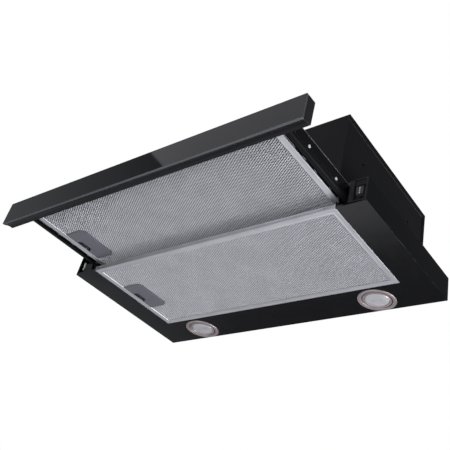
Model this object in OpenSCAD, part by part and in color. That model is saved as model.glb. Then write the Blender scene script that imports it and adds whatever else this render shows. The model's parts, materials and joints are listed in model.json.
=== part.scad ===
// Pull out range hood for a wall cabinet, with a sliding visor, two grease filters and a fan.
// The origin is on the rear face, midway across, level with the cabinet's underside.
// The visor is drawn pulled out. Left and right are as seen from the front, which faces -Y.

/* [Housing] */
// Width of the lower housing
hood_w = 595; // [550:5:900]
// Depth of the housing, from the wall to its front edge
hood_d = 272; // [265:1:320]
// Height of the lower housing, below the cabinet
lower_h = 42; // [42:1:46]
// Width of the ledge under the cabinet, on each side of the upper body
ledge_w = 49.5; // [45:0.5:55]
// Height of the upper body, above the cabinet's underside
upper_h = 140; // [140:1:180]
// Thickness of the folded sheets
sheet_t = 1; // [0.9:0.1:1.1]
// Radius of the screw holes in the upper body's sides
side_hole_r = 2.5; // [2:0.1:3.5]
// Distance between the two screw holes of a side
side_hole_gap = 155; // [120:1:180]

/* [Visor] */
// How far the visor pulls out
travel = 146; // [120:1:146]
// How far the front plate reaches past the housing at each end
plate_overhang = 2.5; // [1:0.5:4]
// Depth of the front bar, its glass included
bar_d = 18.7; // [17:0.1:22]
// Thickness of the front glass
glass_t = 4; // [3:0.5:5]
// Height of the side arms
arm_h = 18; // [16:1:20]
// Height of the ball slides
slide_h = 18; // [17:1:20]

/* [Filters] */
// Thickness of the grease filters
filter_h = 9; // [9:0.5:10]
// Width of the filter frame seen round the mesh
frame_band = 10.5; // [9:0.5:12]

/* [Lamps and switches] */
// Radius of the lamp rings
lamp_r = 32.5; // [31:0.5:33]
// Distance from the middle of a lamp to the housing's side
lamp_inset = 107.5; // [90:0.5:130]
// Width of the speed knob
knob_w = 11; // [9:0.5:12]

/* [Fan] */
// Outer radius of the duct collar
duct_r = 60; // [60:1:62]
// Height of the duct collar
duct_h = 30; // [25:1:40]
// Radius of the fan wheel
wheel_r = 46; // [44:0.5:46]
// Width of the fan wheel
wheel_w = 90; // [80:1:90]
// Number of blades on the fan wheel
blades = 32; // [24:1:36]

/* [Hidden] */
$fn = 48;

// Overruns and clearances
over = 1;
run_gap = 0.3;
shaft_gap = 0.08;
fit_gap = 0.5;

// Planes of the housing
front_y = -hood_d;
under_z = -lower_h;
half_w = hood_w / 2;
upper_x = half_w - ledge_w;
panel_top = under_z + sheet_t;
lid_z = upper_h - sheet_t;
lip_h = 3;
fold_w = 10;
flange_drop = 9;
flange_t = 0.8;
flange_foot = 5;

// From the housing's side inwards: the switches, the arm, the slide and the filter
bezel_rim = 7.5;
bezel_rim_out = 3;
knob_room = 3.5;
slot_x1 = half_w - sheet_t - bezel_rim_out;
slot_x0 = slot_x1 - knob_w - 2 * knob_room;
cheek_x = slot_x0 - bezel_rim;
cheek_gap = 4.4;
arm_out = cheek_x - cheek_gap;
arm_x = arm_out - sheet_t;
slide_t = 10.2;
slide_skin = 1.2;
slide_x = arm_x - slide_t;
bracket_t = 1.2;
bracket_x = slide_x - bracket_t;
bracket_gap = 1.2;
flange_x = bracket_x - bracket_gap;
opening_x = flange_x - sheet_t;
filter_x = opening_x - fit_gap;

// The lamps behind the main filter, and the opening that the filter fills
lamp_edge = 1.1;
lamp_y = -lamp_r - lamp_edge;
lamp_x = half_w - lamp_inset;
lamp_clear = 3.9;
filter_front_gap = 2;
main_y0 = front_y + filter_front_gap;
filter_d = lamp_y - lamp_r - lamp_clear - main_y0;
main_y = main_y0 + filter_d / 2;
opening_y = main_y0 + filter_d + fit_gap;
opening_flange_h = 11;
visor_lift = 17;
visor_z = under_z + visor_lift;
frame_t = 1;
mesh_gap = 0.4;

// The slides and the tray above them
tray_gap = 2;
tray_z = -tray_gap - sheet_t;
slide_top = -9;
slide_mid = slide_top - slide_h / 2;
slide_inset = 2;
slide_rear_gap = 24;
slide_y0 = front_y + slide_inset;
slide_l = hood_d - slide_inset - slide_rear_gap;
ball_room = 2.8;
inner_h = slide_h - 2 * slide_skin - 2 * ball_room;
inner_w = 6.1;
lip_w = 8;
bend_r = 3;
ball_r = 1.1;
ball_count = 5;
ball_pitch = 18;
cage_l = ball_count * ball_pitch;
cage_t = 0.8;
cage_gap = 1.2;
cage_reach = 5;

// The visor, pulled out
bar_gap = 0.5;
bar_y1 = front_y - travel - bar_gap;
bar_y0 = bar_y1 - bar_d;
tape_t = 0.6;
profile_y0 = bar_y0 + glass_t + tape_t;
plate_x = half_w + plate_overhang;
cap_t = 2;
profile_x = plate_x - cap_t;
profile_wall = 1.6;
grip_rise = 3.7;
grip_r = 21;
grip_shift = 2.5;
visor_filter_y0 = bar_y1 + fit_gap;
visor_y = visor_filter_y0 + filter_d / 2;
tray_lap = 1;
tray_y1 = visor_filter_y0 + filter_d + tray_lap;
tray_flange = 11;
strip_z = visor_z + sheet_t;
tape_w = 12;
tape_shares = [0.28, 0.72];

// Latches and handles, from a filter's own left edge and underside
handle_w = 41.5;
handle_d = 75;
handle_t = 2.2;
handle_r = 9;
handle_wall = 1.2;
pocket_w = 12;
pocket_d = 26;
pocket_slope = 5;
latch_t = 1.6;
latch_gap = 0.6;
pocket_h = filter_h - frame_t - latch_t - latch_gap;
latch_w = 16;
latch_reach = 1.3;
latch_lip_t = 1.8;
latch_lip_z = 1;
latch_travel = 4.5;
tongue_w = 12;
tongue_t = 1.2;
tongue_reach = 1.8;
tongue_drop = 1.2;
tongue_z = filter_h - frame_t - tongue_t - tongue_drop;
tongue_place = 60;
notch_gap = 0.8;
mesh_h = 3;
mesh_cols = 24;
mesh_rows = 9;
mesh_rib = 2.6;
vent_r = 1.2;
vent_inset = 20.5;

// Lamps
lamp_lap = 3.5;
lamp_hole_r = lamp_r - lamp_lap;
lamp_flange_t = 1;
lamp_wall = 1.2;
lamp_rim_w = 7.5;
lamp_step_r = lamp_r - lamp_rim_w;
lamp_face_w = 5;
lamp_eye_r = lamp_step_r - lamp_face_w;
lens_t = 1.2;
lens_lap = 1.6;
lens_seat = 0.6;
lamp_tube_h = 9;
can_gap = 1.8;
can_r = lamp_hole_r - lamp_wall - can_gap;
can_h = 20;
fin_gap = 4;
fin_depth = 4;

// Fan, from its shaft
duct_y = front_y / 2;
duct_wall = 2;
collar_flange_t = 1.5;
collar_flange_w = 8;
collar_ledge_w = 2.5;
collar_ledge_h = 1.7;
casing_t = 1.5;
scroll_step = 6;
scroll_gap = 7;
throat_h = 71;
casing_gap = 2;
inlet_gap = 8;
scroll_r = wheel_r + scroll_gap;
throat_w = scroll_r + 3 * scroll_step;
fan_y = duct_y - throat_w / 2 + scroll_step / 2;
fan_z = lid_z - throat_h;
casing_x = wheel_w / 2 + casing_gap;
shaft_r = 4;
disc_t = 3;
hub_r = 9;
hub_w = 16;
blade_d = 8;
blade_t = 1;
blade_tilt = 35;
ring_t = 1.5;
motor_r = 30;
motor_l = 50;
motor_gap = 2;
motor_x = hub_w / 2 + motor_gap;
motor_wall = 1.5;
rotor_r = 18.4;
rotor_l = 28;
stator_l = 32;
stator_gap = 0.6;
shaft_tail = 6;
spider_t = 3;
spider_w = 8;
spider_ring = 3;
spider_reach = 12;
flap_t = 1.4;
flap_offset = 4;
flap_lift = 0.4;
pivot_r = 1.6;
flap_axis = collar_ledge_h + flap_lift + pivot_r;
flap_reach = duct_r - duct_wall - 2 * run_gap;

// Boxes and the cable gland
box_wall = 2;
control_w = 80;
control_inset = 8;
control_x = upper_x - control_inset - control_w;
control_d = 60;
control_h = 58;
control_drop = 12;
driver_w = 100;
driver_d = 40;
driver_h = 22;
capacitor_r = 14;
capacitor_h = 42;
capacitor_x = -140;
capacitor_y = -60;
gland_x = control_x + control_w / 2;
gland_y = -30;
gland_r = 7.8;
gland_bore = 3.6;
gland_head_r = 11;
gland_head_h = 8;
gland_cap_r = 9;
gland_cap_h = 8;
gland_below = 9;

// Switches in the right cheek
bezel_t = 3;
bezel_rim_low = 4;
bezel_rim_top = 1;
switch_wall = 1.2;
switch_depth = 30;
switch_gap = 1;
divider_y = 7.5;
divider_t = 1.5;
rocker_h = 8;
rocker_d = 8.5;
rocker_step = 1.5;
rocker_ribs = 4;
rib_w = 0.6;
rocker_pin_r = 1;
knob_h = 13.2;
knob_t = 6;
knob_top = 12.4;
knob_step = 0.5;
stem_w = 3;
stem_h = 4;
knob_travel = 8;
bezel_top = -sheet_t;
slot_mid = (slot_x0 + slot_x1) / 2;
slot_top = bezel_top - bezel_rim_top;
slot_low = panel_top + bezel_rim_low;
rocker_y = front_y + bezel_t + rocker_d / 2;
rocker_z = slot_top - switch_gap - rocker_h / 2;
stem_z = slot_top - knob_top - knob_h / 2;
mark_w = 1.2;
mark_h = 2.4;
mark_gap = 1.6;
mark_t = 0.3;

// Screws
screw_head_r = 2.4;
screw_head_h = 1.6;
screw_r = 1.4;
arm_screw_y = 29;
arm_screw_gap = 69;
arm_screw_inset = 2.6;
bar_screw_shares = [-0.75, -0.25, 0.25, 0.75];
cover_screw_shares = [0.12, 0.5, 0.88];
side_hole_z = 83.5;
side_hole_ahead = 2;
side_hole_y = front_y / 2 - side_hole_ahead;
glide_l = 9;
glide_h = 6.5;
glide_r = 2;
glide_inset = 1;
tab_w = 20;
tab_h = 20;
tab_side = 13.5;
tab_x = half_w - tab_side;
tab_inset = 3;
tab_foot = 14;

black = "#1d1d20";
dark = "#2b2c30";
silver = "#c4c6ca";
zinc = "#9da1a6";
grey = "#6c6d74";

// A box between two corners
module box(x0, x1, y0, y1, z0, z1) {
  translate([x0, y0, z0]) cube([x1 - x0, y1 - y0, z1 - z0]);
}

// An outline in Y and Z drawn out along X
module along_x(x0, x1) {
  translate([x0, 0, 0]) rotate([90, 0, 90]) linear_extrude(x1 - x0) children();
}

// An outline in X and Z drawn out along Y
module along_y(y0, y1) {
  translate([0, y1, 0]) rotate([90, 0, 0]) linear_extrude(y1 - y0) children();
}

// A rectangle between two corners
module pane(u0, u1, v0, v1) {
  translate([u0, v0]) square([u1 - u0, v1 - v0]);
}

// The right side as drawn, the left side mirrored
module on_side(side) {
  mirror([side < 0 ? 1 : 0, 0, 0]) children();
}

module both_sides() {
  for (side = [-1, 1]) on_side(side) children();
}

// Housing

module underside_panel() {
  color(black) difference() {
    union() {
      box(-half_w, half_w, front_y, -sheet_t, under_z, panel_top);
      both_sides() {
        box(opening_x, half_w - sheet_t, front_y, front_y + sheet_t, under_z, under_z + lip_h);
        box(opening_x, flange_x, front_y, opening_y + sheet_t, under_z, under_z + opening_flange_h);
      }
      box(-flange_x, flange_x, opening_y, opening_y + sheet_t, under_z, under_z + opening_flange_h);
    }
    box(-opening_x, opening_x, front_y - over, opening_y, under_z - over, panel_top + over);
    for (x = [-lamp_x, lamp_x])
      translate([x, lamp_y, under_z - over]) cylinder(r = lamp_hole_r, h = sheet_t + 2 * over);
    translate([0, main_y, under_z]) filter_slots(opening_x, flange_x);
  }
}

// Openings for a filter's two tongues on the right and its latch on the left
module filter_slots(x0, x1) {
  for (s = [-1, 1])
    translate([0, s * tongue_place, 0])
      box(x0 - over, x1 + over, -tongue_w / 2 - notch_gap, tongue_w / 2 + notch_gap,
        tongue_z - notch_gap, tongue_z + tongue_t + 2 * notch_gap);
  box(-filter_x - latch_reach - fit_gap, -x0 + over, -latch_w / 2 - notch_gap, latch_w / 2 + notch_gap,
    -over, handle_t + pocket_h + notch_gap);
}

module side_channel(side) {
  color(black) on_side(side) {
    box(half_w - sheet_t, half_w, front_y, -sheet_t, panel_top, 0);
    box(upper_x, half_w - sheet_t, front_y, -sheet_t, -sheet_t, 0);
  }
}

module rear_panel() {
  color(black) {
    box(-half_w, half_w, -sheet_t, 0, under_z, 0);
    box(-upper_x, upper_x, -sheet_t, 0, 0, lid_z);
    both_sides() box(upper_x, upper_x + flange_t, -flange_drop, 0, flange_foot, lid_z - flange_drop);
  }
}

module upper_shell() {
  color(black) difference() {
    union() {
      box(-upper_x, upper_x, front_y, front_y + sheet_t, 0, lid_z);
      box(-upper_x, upper_x, front_y, front_y + fold_w, lid_z - sheet_t, lid_z);
      box(-upper_x, upper_x, front_y, front_y + fold_w, 0, sheet_t);
      both_sides() {
        box(upper_x - sheet_t, upper_x, front_y, -sheet_t, -sheet_t, lid_z);
        box(upper_x - fold_w, upper_x, front_y, -sheet_t, lid_z - sheet_t, lid_z);
      }
    }
    for (s = [-1, 1])
      translate([-upper_x - over, side_hole_y + s * side_hole_gap / 2, side_hole_z])
        rotate([0, 90, 0]) cylinder(r = side_hole_r, h = 2 * upper_x + 2 * over);
  }
}

module top_cover() {
  color(black) difference() {
    union() {
      box(-upper_x - flange_t, upper_x + flange_t, front_y, 0, lid_z, upper_h);
      both_sides() box(upper_x, upper_x + flange_t, front_y, 0, lid_z - flange_drop, upper_h);
    }
    translate([0, duct_y, lid_z - over]) cylinder(r = duct_r - duct_wall, h = sheet_t + 2 * over);
    translate([gland_x, gland_y, lid_z - over]) cylinder(r = gland_r, h = sheet_t + 2 * over);
    cover_screw_places() cylinder(r = screw_r, h = 2 * over + sheet_t);
  }
}

module cover_screw_places() {
  for (share = cover_screw_shares)
    for (s = [-1, 1])
      translate([s * (upper_x - fold_w / 2), front_y * share, lid_z - over]) children();
}

// Fan and duct

module outlet_collar() {
  color(dark) translate([0, duct_y, upper_h]) difference() {
    union() {
      cylinder(r = duct_r + collar_flange_w, h = collar_flange_t, $fn = 96);
      cylinder(r = duct_r, h = collar_flange_t + duct_h, $fn = 96);
    }
    translate([0, 0, -over]) cylinder(r = duct_r - duct_wall - collar_ledge_w, h = over * 3, $fn = 96);
    translate([0, 0, collar_ledge_h])
      cylinder(r = duct_r - duct_wall, h = duct_h + collar_flange_t, $fn = 96);
    for (s = [-1, 1])
      translate([-duct_r - over, s * flap_offset, flap_axis])
        rotate([0, 90, 0]) cylinder(r = pivot_r + shaft_gap, h = 2 * duct_r + 2 * over);
  }
}

// One half of the check valve, closed
module flap(side) {
  color(grey) translate([0, duct_y, upper_h]) {
    intersection() {
      translate([0, 0, flap_axis - pivot_r]) cylinder(r = flap_reach, h = flap_t, $fn = 96);
      box(-duct_r, duct_r, side < 0 ? -duct_r : flap_offset, side < 0 ? -flap_offset : duct_r, 0, duct_h);
    }
    translate([-duct_r + duct_wall / 2, side * flap_offset, flap_axis])
      rotate([0, 90, 0]) cylinder(r = pivot_r, h = 2 * duct_r - duct_wall);
  }
}

// Quarter of a disc, for the four turns of the scroll
module quarter(r, u, v) {
  intersection() {
    circle(r = r, $fn = 96);
    pane(u < 0 ? -2 * r : 0, u < 0 ? 0 : 2 * r, v < 0 ? -2 * r : 0, v < 0 ? 0 : 2 * r);
  }
}

// The scroll's outline round the shaft, with its throat going up
module scroll_outline(grow) {
  half = scroll_step / 2;
  low_r = scroll_r + scroll_step;
  rear_r = scroll_r + 2 * scroll_step;
  translate([-half, -half]) quarter(scroll_r + grow, -1, 1);
  translate([half, -half]) quarter(low_r + grow, -1, -1);
  translate([half, half]) quarter(rear_r + grow, 1, -1);
  pane(-half, half, -half, half);
  pane(-half - grow, half + rear_r + grow, half, throat_h);
}

module scroll_casing(side) {
  color(dark) on_side(side) translate([0, fan_y, fan_z]) {
    along_x(0, casing_x) difference() {
      scroll_outline(casing_t);
      scroll_outline(0);
    }
    along_x(casing_x, casing_x + casing_t) difference() {
      scroll_outline(casing_t);
      circle(r = wheel_r - inlet_gap, $fn = 96);
    }
    // The flange that closes the cover's hole round the throat
    translate([0, duct_y - fan_y, throat_h - casing_t]) linear_extrude(casing_t) difference() {
      circle(r = duct_r, $fn = 96);
      pane(-2 * duct_r, 0, -2 * duct_r, 2 * duct_r);
      pane(-over, casing_x, -throat_w / 2, throat_w / 2);
    }
  }
}

module impeller() {
  inner = wheel_r - blade_d;
  color(grey) translate([0, fan_y, fan_z]) difference() {
    union() {
      along_x(-disc_t / 2, disc_t / 2) circle(r = wheel_r, $fn = 96);
      along_x(-hub_w / 2, hub_w / 2) circle(r = hub_r);
      for (s = [-1, 1])
        along_x(s * wheel_w / 2 - ring_t / 2, s * wheel_w / 2 + ring_t / 2) difference() {
          circle(r = wheel_r, $fn = 96);
          circle(r = inner, $fn = 96);
        }
      along_x(-wheel_w / 2, wheel_w / 2)
        for (i = [0:blades - 1])
          rotate(i * 360 / blades)
            translate([(inner + wheel_r) / 2, 0])
              rotate(blade_tilt) square([blade_d, blade_t], center = true);
    }
    along_x(-hub_w, hub_w) circle(r = shaft_r);
  }
}

module motor_shaft() {
  color(zinc) translate([0, fan_y, fan_z])
    along_x(-hub_w / 2 - over, motor_x + motor_l + shaft_tail) circle(r = shaft_r);
}

module motor_rotor() {
  mid = motor_x + motor_l / 2;
  color(zinc) translate([0, fan_y, fan_z]) along_x(mid - rotor_l / 2, mid + rotor_l / 2) difference() {
    circle(r = rotor_r);
    circle(r = shaft_r);
  }
}

module motor_can() {
  color(zinc) translate([0, fan_y, fan_z]) difference() {
    along_x(motor_x, motor_x + motor_l) circle(r = motor_r, $fn = 96);
    along_x(motor_x + motor_wall, motor_x + motor_l - motor_wall)
      circle(r = motor_r - motor_wall, $fn = 96);
    along_x(motor_x - over, motor_x + motor_l + over) circle(r = shaft_r + shaft_gap);
  }
}

module motor_stator() {
  mid = motor_x + motor_l / 2;
  color("#8a5a35") translate([0, fan_y, fan_z])
    along_x(mid - stator_l / 2, mid + stator_l / 2) difference() {
      circle(r = motor_r - motor_wall, $fn = 96);
      circle(r = rotor_r + stator_gap, $fn = 96);
    }
}

// Three arms that carry the motor in the right inlet
module motor_bracket() {
  color(zinc) translate([0, fan_y, fan_z])
    along_x(casing_x + casing_t, casing_x + casing_t + spider_t) difference() {
      union() {
        circle(r = motor_r + spider_ring, $fn = 96);
        for (a = [90, 210, 330])
          rotate(a) pane(0, motor_r + spider_reach + spider_w, -spider_w / 2, spider_w / 2);
      }
      circle(r = motor_r, $fn = 96);
    }
}

module capacitor() {
  color(silver) translate([capacitor_x, capacitor_y, lid_z - capacitor_h])
    cylinder(r = capacitor_r, h = capacitor_h);
}

module control_box() {
  top = lid_z - control_drop;
  color(dark) difference() {
    box(control_x, control_x + control_w, -sheet_t - control_d, -sheet_t, top - control_h, top);
    box(control_x + box_wall, control_x + control_w - box_wall, -sheet_t - control_d + box_wall,
      -sheet_t - box_wall, top - control_h + box_wall, top - box_wall);
  }
}

module cable_gland() {
  color(dark) translate([gland_x, gland_y, lid_z]) difference() {
    union() {
      translate([0, 0, -gland_below]) cylinder(r = gland_r, h = gland_below + sheet_t);
      translate([0, 0, -gland_below]) cylinder(r = gland_head_r, h = gland_below, $fn = 6);
      translate([0, 0, sheet_t]) cylinder(r = gland_head_r, h = gland_head_h, $fn = 6);
      translate([0, 0, sheet_t + gland_head_h]) cylinder(r = gland_cap_r, h = gland_cap_h);
    }
    translate([0, 0, -gland_below - over])
      cylinder(r = gland_bore, h = gland_below + sheet_t + gland_head_h + gland_cap_h + 2 * over);
  }
}

module led_driver() {
  color(dark) difference() {
    box(-driver_w / 2, driver_w / 2, lamp_y - driver_d / 2, lamp_y + driver_d / 2,
      panel_top, panel_top + driver_h);
    box(-driver_w / 2 + box_wall, driver_w / 2 - box_wall, lamp_y - driver_d / 2 + box_wall,
      lamp_y + driver_d / 2 - box_wall, panel_top + box_wall, panel_top + driver_h - box_wall);
  }
}

// Lamps

module lamp_ring(side) {
  color("#9a8f8d") translate([side * lamp_x, lamp_y, under_z]) rotate_extrude($fn = 96)
    polygon([
      [lamp_eye_r, -lamp_flange_t / 2],
      [lamp_step_r - lamp_wall, -lamp_flange_t / 2],
      [lamp_step_r - lamp_wall, 0],
      [lamp_step_r, 0],
      [lamp_step_r, -lamp_flange_t],
      [lamp_r - lamp_flange_t, -lamp_flange_t],
      [lamp_r, -lamp_flange_t / 2],
      [lamp_r, 0],
      [lamp_hole_r - lamp_flange_t / 4, 0],
      [lamp_hole_r - lamp_flange_t / 4, lamp_tube_h],
      [lamp_hole_r - lamp_wall, lamp_tube_h],
      [lamp_hole_r - lamp_wall, lamp_flange_t],
      [lamp_eye_r + lens_lap, lamp_flange_t],
      [lamp_eye_r + lens_lap, lens_seat],
      [lamp_eye_r, lens_seat]
    ]);
}

module lamp_lens(side) {
  lens_r = lamp_eye_r - run_gap;
  color("#dfe3e6") translate([side * lamp_x, lamp_y, under_z]) rotate_extrude($fn = 96)
    polygon([
      [0, -lamp_flange_t / 2],
      [lens_r, -lamp_flange_t / 4],
      [lens_r, lens_seat],
      [lens_r + lens_lap, lens_seat],
      [lens_r + lens_lap, lens_seat + lens_t],
      [0, lens_seat + lens_t]
    ]);
}

module lamp_body(side) {
  base = lens_seat + lens_t;
  color(dark) translate([side * lamp_x, lamp_y, under_z]) rotate_extrude($fn = 96) difference() {
    pane(0, can_r, base, base + can_h);
    for (v = [base + fin_gap * 2:fin_gap:base + can_h - fin_gap])
      pane(can_r - fin_depth, can_r + over, v, v + fin_gap / 2);
  }
}

// Ball slides

module slide_bracket(side) {
  color(black) on_side(side) {
    box(bracket_x, bracket_x + bracket_t, slide_y0, slide_y0 + slide_l, panel_top, slide_top);
    box(bracket_x + bracket_t, arm_out, slide_y0, slide_y0 + slide_l, panel_top, panel_top + bracket_t);
  }
}

module slide_fixed(side) {
  color(zinc) on_side(side) along_y(slide_y0, slide_y0 + slide_l) difference() {
    pane(slide_x, slide_x + inner_w, slide_mid - inner_h / 2, slide_mid + inner_h / 2);
    pane(slide_x + slide_skin, slide_x + inner_w + over,
      slide_mid - inner_h / 2 + slide_skin, slide_mid + inner_h / 2 - slide_skin);
  }
}

// A C section with round outer bends, open towards the filter
module slide_section(x, w, h, r) {
  pane(x - w, x - r, slide_mid - h / 2, slide_mid + h / 2);
  pane(x - r, x, slide_mid - h / 2 + r, slide_mid + h / 2 - r);
  for (s = [-1, 1]) translate([x - r, slide_mid + s * (h / 2 - r)]) circle(r = r);
}

module slide_moving(side) {
  color(dark) on_side(side) along_y(slide_y0 - travel, slide_y0 - travel + slide_l) difference() {
    slide_section(arm_x, lip_w, slide_h, bend_r);
    slide_section(arm_x - slide_skin, lip_w + over, slide_h - 2 * slide_skin, bend_r - slide_skin);
  }
}

// The strip that keeps the balls apart, half way between the two members
module ball_cage(side) {
  mid_y = slide_y0 + (slide_l - travel) / 2;
  web = arm_x - slide_skin - cage_gap - cage_t;
  reach = (slide_h / 2 - slide_skin + inner_h / 2) / 2;
  color(silver) on_side(side) {
    box(web, web + cage_t, mid_y - cage_l / 2, mid_y + cage_l / 2,
      slide_mid - reach - cage_t / 2, slide_mid + reach + cage_t / 2);
    for (s = [-1, 1]) {
      box(web - cage_reach, web, mid_y - cage_l / 2, mid_y + cage_l / 2,
        slide_mid + s * reach - cage_t / 2, slide_mid + s * reach + cage_t / 2);
      for (i = [0:ball_count - 1])
        translate([web - cage_reach / 2, mid_y + (i + 0.5) * ball_pitch - cage_l / 2, slide_mid + s * reach])
          sphere(r = ball_r, $fn = 24);
    }
  }
}

// Guides beside the arms, rounded along their lower inner edge
module guide_glides() {
  x0 = arm_out + run_gap;
  z0 = -sheet_t - glide_h;
  color(grey) both_sides() along_y(front_y + glide_inset, front_y + glide_inset + glide_l) {
    pane(x0, cheek_x, z0 + glide_r, -sheet_t);
    pane(x0 + glide_r, cheek_x, z0, z0 + glide_r);
    translate([x0 + glide_r, z0 + glide_r]) circle(r = glide_r);
  }
}

// The folded tab in the open left cheek
module stop_bracket() {
  back = front_y + tab_inset;
  color(dark) {
    box(-tab_x, -tab_x + tab_w, back, back + bracket_t, panel_top, panel_top + tab_h);
    box(-tab_x, -tab_x + tab_w, back + bracket_t, back + tab_foot, panel_top, panel_top + bracket_t);
    box(-tab_x - bracket_t, -tab_x, back, back + tab_foot, panel_top, panel_top + tab_h);
  }
}

module housing_screws() {
  color(silver) {
    cover_screw_places() {
      translate([0, 0, over + sheet_t]) cylinder(r = screw_head_r, h = screw_head_h);
      translate([0, 0, over]) cylinder(r = screw_r, h = sheet_t);
    }
    for (v = [tab_h / 3, tab_h * 2 / 3])
      translate([-tab_x - bracket_t, front_y + tab_inset + tab_foot / 2, panel_top + v])
        rotate([0, -90, 0]) cylinder(r = screw_head_r, h = screw_head_h);
  }
}

// Switches

module switch_bezel() {
  color(dark) difference() {
    box(cheek_x, half_w - sheet_t, front_y, front_y + bezel_t, under_z + lip_h, bezel_top);
    box(slot_x0, slot_x1, front_y - over, front_y + bezel_t + over, slot_low, slot_top);
  }
}

module switch_box() {
  y0 = front_y + bezel_t;
  color(black) difference() {
    box(slot_x0 - switch_wall, slot_x1 + switch_wall, y0, y0 + switch_depth,
      slot_low - switch_wall, bezel_top);
    difference() {
      box(slot_x0, slot_x1, y0 - over, y0 + switch_depth - switch_wall, slot_low, slot_top);
      box(slot_x0 - over, slot_x1 + over, front_y + divider_y, front_y + divider_y + divider_t,
        slot_low - over, slot_top - rocker_h - 2 * switch_gap);
    }
    translate([slot_x0 - 2 * switch_wall, rocker_y, rocker_z]) rotate([0, 90, 0])
      cylinder(r = rocker_pin_r + shaft_gap, h = slot_x1 - slot_x0 + 4 * switch_wall);
    box(slot_mid - stem_w / 2 - run_gap, slot_mid + stem_w / 2 + run_gap,
      front_y + divider_y - over, front_y + divider_y + divider_t + over,
      stem_z - stem_h / 2 - knob_travel - 2 * run_gap, stem_z + stem_h / 2 + run_gap);
  }
}

module light_switch() {
  w = slot_x1 - slot_x0 - 2 * switch_gap;
  y0 = rocker_y - rocker_d / 2 - rocker_step;
  pitch = rocker_h / (rocker_ribs + 1);
  color(dark) {
    difference() {
      box(slot_mid - w / 2, slot_mid + w / 2, y0, y0 + rocker_d,
        rocker_z - rocker_h / 2, rocker_z + rocker_h / 2);
      for (i = [1:rocker_ribs])
        box(slot_mid - w / 2 - over, slot_mid + w / 2 + over, y0 - over, y0 + rib_w,
          rocker_z - rocker_h / 2 + i * pitch - rib_w / 2, rocker_z - rocker_h / 2 + i * pitch + rib_w / 2);
    }
    translate([slot_x0 - switch_wall / 2, rocker_y, rocker_z]) rotate([0, 90, 0])
      cylinder(r = rocker_pin_r, h = slot_x1 - slot_x0 + switch_wall);
  }
}

module speed_switch() {
  y0 = front_y + knob_step;
  back = front_y + divider_y + divider_t;
  color(grey) {
    box(slot_mid - knob_w / 2, slot_mid + knob_w / 2, y0, y0 + knob_t,
      stem_z - knob_h / 2, stem_z + knob_h / 2);
    box(slot_mid - stem_w / 2, slot_mid + stem_w / 2, y0 + knob_t, back + run_gap + divider_t,
      stem_z - stem_h / 2, stem_z + stem_h / 2);
    box(slot_mid - stem_w, slot_mid + stem_w, back + run_gap, back + run_gap + divider_t,
      stem_z - stem_h / 2, stem_z + stem_h / 2);
  }
  color("white") for (i = [-1:1])
    translate([slot_mid, y0 - mark_t, stem_z + i * (mark_h + mark_gap)])
      box(-mark_w / 2, mark_w / 2, 0, mark_t, -mark_h / 2, mark_h / 2);
}

// Visor

module front_glass() {
  color("#232427") box(-plate_x, plate_x, bar_y0, bar_y0 + glass_t, under_z, 0);
}

module glass_tape() {
  y0 = bar_y0 + glass_t;
  color("#3a3a3c") for (share = tape_shares)
    box(-profile_x, profile_x, y0, y0 + tape_t, under_z * share - tape_w / 2, under_z * share + tape_w / 2);
}

// The bar's section, hollowed underneath as a finger grip
module bar_section() {
  difference() {
    pane(profile_y0, bar_y1, under_z, 0);
    translate([bar_y1 - grip_shift, under_z - grip_r + grip_rise]) circle(r = grip_r, $fn = 96);
  }
}

module bar_profile() {
  color(dark) difference() {
    along_x(-profile_x, profile_x) difference() {
      bar_section();
      pane(profile_y0 + profile_wall, bar_y1 - profile_wall,
        under_z + grip_rise + 2 * profile_wall, -profile_wall);
    }
    bar_screw_places() cylinder(r = screw_r, h = 2 * over + sheet_t + profile_wall);
  }
}

module end_cap(side) {
  color(dark) on_side(side) {
    along_x(profile_x, profile_x + cap_t) bar_section();
    box(profile_x - 2 * cap_t, profile_x, profile_y0 + profile_wall, bar_y1 - profile_wall,
      under_z + grip_rise + 2 * profile_wall, -profile_wall);
  }
}

module visor_tray() {
  arm_y1 = slide_y0 - travel + slide_l;
  color(black) difference() {
    union() {
      box(-arm_out, arm_out, bar_y1, tray_y1, tray_z, -tray_gap);
      both_sides() box(arm_x, arm_out, bar_y1, arm_y1, -tray_gap - arm_h, -tray_gap);
      box(-opening_x, opening_x, bar_y1, bar_y1 + sheet_t, -tray_gap - tray_flange, tray_z);
      box(-opening_x, opening_x, tray_y1 - sheet_t, tray_y1, -tray_gap - tray_flange / 2, tray_z);
    }
    both_sides() arm_screw_places() translate([0, 0, -over]) cylinder(r = screw_r, h = 2 * over + sheet_t);
    bar_screw_places() cylinder(r = screw_r, h = 2 * over + sheet_t);
  }
}

module arm_screw_places() {
  for (i = [0, 1])
    translate([arm_x, front_y - arm_screw_y - i * arm_screw_gap, -tray_gap - arm_h + arm_screw_inset])
      rotate([0, 90, 0]) children();
}

module bar_screw_places() {
  for (share = bar_screw_shares)
    translate([opening_x * share, bar_y1 + sheet_t + over, -tray_gap - tray_flange / 2])
      rotate([90, 0, 0]) children();
}

module arm_screws() {
  color(silver) both_sides() arm_screw_places() {
    translate([0, 0, sheet_t]) cylinder(r = screw_head_r, h = screw_head_h);
    cylinder(r = screw_r, h = sheet_t);
  }
}

module bar_screws() {
  color(silver) bar_screw_places() {
    translate([0, 0, over - screw_head_h]) cylinder(r = screw_head_r, h = screw_head_h);
    translate([0, 0, over]) cylinder(r = screw_r, h = sheet_t + profile_wall);
  }
}

// The strip that a visor filter clips into
module filter_strip(side) {
  color(black) difference() {
    on_side(side) box(opening_x, flange_x, bar_y1 + sheet_t, tray_y1 - sheet_t, strip_z, tray_z);
    translate([0, visor_y, visor_z]) filter_slots(opening_x, flange_x);
  }
}

// Grease filters, drawn about the middle of their underside

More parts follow.
